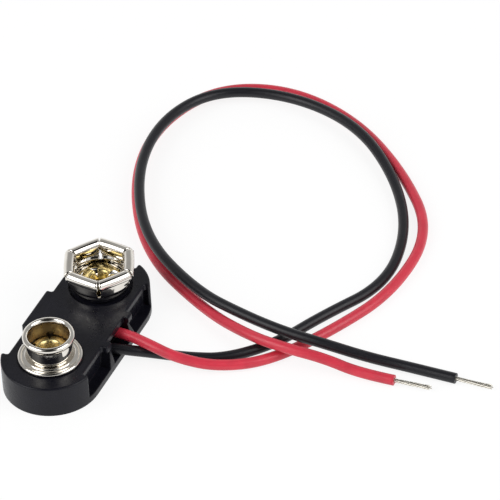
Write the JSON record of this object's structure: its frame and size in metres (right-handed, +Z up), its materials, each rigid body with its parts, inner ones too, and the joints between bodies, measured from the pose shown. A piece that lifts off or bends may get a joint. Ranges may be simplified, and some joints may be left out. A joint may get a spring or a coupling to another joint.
{
  "type": "battery snap connector",
  "caption": "Moulded battery clip with a round snap stud, a hexagonal sprung snap socket and two thin flying leads, red and black, with bare twisted ends, lying in one loose loop.",
  "frame": {"origin": "bottom middle of the housing, on the surface that it stands on", "axes": "+X from the round stud to the hexagonal socket, +Z up, the way the snaps point; the leads leave on the -Y side"},
  "size_m": [0.0611, 0.0532, 0.0073],
  "materials": {
    "housing_plastic": "satin charcoal moulding",
    "plate_plastic": "matt charcoal sheet",
    "nickel": "bright nickel plate",
    "brass": "bright clenched brass",
    "tag_metal": "tinned strip",
    "black_insulation": "semi-gloss soft insulation",
    "red_insulation": "semi-gloss soft insulation",
    "tinned_copper": "tinned fine strands",
    "solder": "smooth solder"
  },
  "bodies": {
    "root": {"housing": "housing_plastic", "base_plate": "plate_plastic", "stud_terminal": "nickel", "stud_rivet": "brass", "stud_tag": "tag_metal", "socket_terminal": "nickel", "socket_rivet": "brass", "socket_tag": "tag_metal", "black_lead": "black_insulation", "red_lead": "red_insulation", "black_bare_end": "tinned_copper", "red_bare_end": "tinned_copper", "black_conductor": "tinned_copper", "red_conductor": "tinned_copper", "black_solder": "solder", "red_solder": "solder"}
  },
  "joints": []
}
